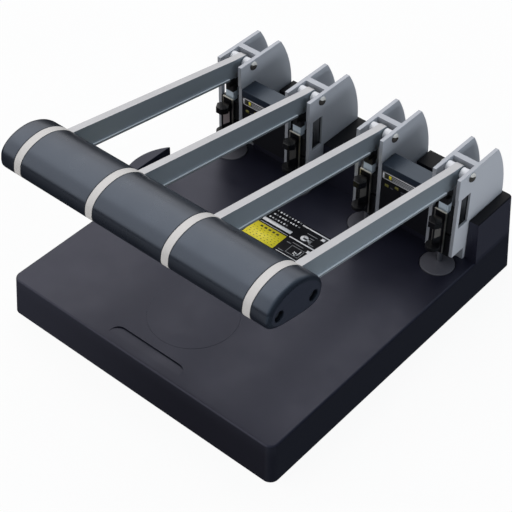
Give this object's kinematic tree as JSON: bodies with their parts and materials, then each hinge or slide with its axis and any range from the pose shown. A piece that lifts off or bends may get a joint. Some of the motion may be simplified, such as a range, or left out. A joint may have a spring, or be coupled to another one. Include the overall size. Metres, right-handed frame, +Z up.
{
  "type": "four hole paper punch",
  "caption": "Heavy desk paper punch: a wide handle on long arms drives hollow cutters in upright silver heads over a flat dark base, with chip boxes and a side paper guide.",
  "frame": {"origin": "centre of the flat underside, on the table", "axes": "+Z up, +X across the machine to the operator's right, -Y towards the operator and the handle"},
  "size_m": [0.3096, 0.336, 0.1935],
  "materials": {
    "base_plastic": "fine satin, dark blue-grey",
    "mat_rubber": "matte",
    "fitting_steel": "bright zinc",
    "base_label": null,
    "silver_paint": "silver-grey satin paint",
    "black_plastic": "satin",
    "knob_plastic": "satin",
    "frame_steel": "plain",
    "plate_label": null,
    "pin_steel": "turned",
    "white_plastic": "plain",
    "lid_plastic": "gloss",
    "grip_plastic": "satin, dark blue-black",
    "cutter_steel": "ground",
    "disc_plastic": "grey-purple, matte"
  },
  "bodies": {
    "base": {"base_shell": "base_plastic", "rear_housing": "base_plastic", "bottom_mat": "mat_rubber", "base_frame": "fitting_steel", "frame_screws": "fitting_steel", "base_label": "base_label", "head_bracket_1": "silver_paint", "head_bracket_2": "silver_paint", "head_bracket_3": "silver_paint", "head_bracket_4": "silver_paint", "guide_block_1": "black_plastic", "guide_block_2": "black_plastic", "guide_block_3": "black_plastic", "guide_block_4": "black_plastic", "unit_cover_1": "black_plastic", "unit_cover_2": "black_plastic", "unit_cover_3": "black_plastic", "unit_cover_4": "black_plastic", "unit_frames": "frame_steel", "unit_labels": "plate_label", "bracket_bolts": "fitting_steel", "pivot_pins": "pin_steel", "pivot_spacers": "white_plastic", "guide_rail": "fitting_steel"},
    "lever": {"arm_1": "silver_paint", "arm_2": "silver_paint", "arm_3": "silver_paint", "arm_4": "silver_paint", "grip_segment_1": "grip_plastic", "grip_segment_2": "grip_plastic", "grip_segment_3": "grip_plastic", "end_cap_left": "grip_plastic", "end_cap_right": "grip_plastic", "tie_rods": "fitting_steel", "rod_nuts": "black_plastic", "drive_pins": "fitting_steel"},
    "punch_1": {"punch_holder_1": "frame_steel", "pipe_cutter_1": "cutter_steel"},
    "punch_2": {"punch_holder_2": "frame_steel", "pipe_cutter_2": "cutter_steel"},
    "punch_3": {"punch_holder_3": "frame_steel", "pipe_cutter_3": "cutter_steel"},
    "punch_4": {"punch_holder_4": "frame_steel", "pipe_cutter_4": "cutter_steel"},
    "chip_box_left": {"chip_box_left": "black_plastic", "chip_lid_left": "lid_plastic", "chip_label_left": "plate_label"},
    "chip_box_right": {"chip_box_right": "black_plastic", "chip_lid_right": "lid_plastic", "chip_label_right": "plate_label"},
    "side_guide": {"side_guide": "black_plastic"},
    "knob_1": {"clamp_knob_1": "knob_plastic"},
    "knob_2": {"clamp_knob_2": "knob_plastic"},
    "knob_3": {"clamp_knob_3": "knob_plastic"},
    "knob_4": {"clamp_knob_4": "knob_plastic"},
    "disc_1": {"cutting_disc_1": "disc_plastic"},
    "disc_2": {"cutting_disc_2": "disc_plastic"},
    "disc_3": {"cutting_disc_3": "disc_plastic"},
    "disc_4": {"cutting_disc_4": "disc_plastic"}
  },
  "joints": [
    {"name": "lever_hinge", "type": "hinge", "parent": "base", "child": "lever", "pos_m": [0, 0.1054, 0.1352], "axis": [-1, 0, 0], "range_deg": [0, 76]},
    {"name": "punch_1_slide", "type": "slide", "parent": "base", "child": "punch_1", "axis": [0, 0, 1], "range_m": [0, 0.01725]},
    {"name": "punch_2_slide", "type": "slide", "parent": "base", "child": "punch_2", "axis": [0, 0, 1], "range_m": [0, 0.01725]},
    {"name": "punch_3_slide", "type": "slide", "parent": "base", "child": "punch_3", "axis": [0, 0, 1], "range_m": [0, 0.01725]},
    {"name": "punch_4_slide", "type": "slide", "parent": "base", "child": "punch_4", "axis": [0, 0, 1], "range_m": [0, 0.01725]},
    {"name": "chip_box_left_slide", "type": "slide", "parent": "base", "child": "chip_box_left", "axis": [0, -1, 0], "range_m": [0, 0.06]},
    {"name": "chip_box_right_slide", "type": "slide", "parent": "base", "child": "chip_box_right", "axis": [0, -1, 0], "range_m": [0, 0.06]},
    {"name": "side_guide_slide", "type": "slide", "parent": "base", "child": "side_guide", "axis": [-1, 0, 0], "range_m": [0, 0.06]},
    {"name": "knob_1_turn", "type": "hinge", "parent": "base", "child": "knob_1", "pos_m": [-0.12, 0.079, 0.0948], "axis": [0, 0, 1], "range_deg": [0, 90]},
    {"name": "knob_2_turn", "type": "hinge", "parent": "base", "child": "knob_2", "pos_m": [-0.04, 0.079, 0.0948], "axis": [0, 0, 1], "range_deg": [0, 90]},
    {"name": "knob_3_turn", "type": "hinge", "parent": "base", "child": "knob_3", "pos_m": [0.04, 0.079, 0.0948], "axis": [0, 0, 1], "range_deg": [0, 90]},
    {"name": "knob_4_turn", "type": "hinge", "parent": "base", "child": "knob_4", "pos_m": [0.12, 0.079, 0.0948], "axis": [0, 0, 1], "range_deg": [0, 90]},
    {"name": "disc_1_turn", "type": "hinge", "parent": "base", "child": "disc_1", "pos_m": [-0.119, 0.089, 0.0389], "axis": [0, 0, 1], "continuous": true},
    {"name": "disc_2_turn", "type": "hinge", "parent": "base", "child": "disc_2", "pos_m": [-0.039, 0.089, 0.0389], "axis": [0, 0, 1], "continuous": true},
    {"name": "disc_3_turn", "type": "hinge", "parent": "base", "child": "disc_3", "pos_m": [0.041, 0.089, 0.0389], "axis": [0, 0, 1], "continuous": true},
    {"name": "disc_4_turn", "type": "hinge", "parent": "base", "child": "disc_4", "pos_m": [0.121, 0.089, 0.0389], "axis": [0, 0, 1], "continuous": true}
  ],
  "couplings": [
    {"joint": "punch_1_slide", "follows": "lever_hinge", "m_per_rad": 0.012996},
    {"joint": "punch_2_slide", "follows": "lever_hinge", "m_per_rad": 0.012996},
    {"joint": "punch_3_slide", "follows": "lever_hinge", "m_per_rad": 0.012996},
    {"joint": "punch_4_slide", "follows": "lever_hinge", "m_per_rad": 0.012996}
  ]
}
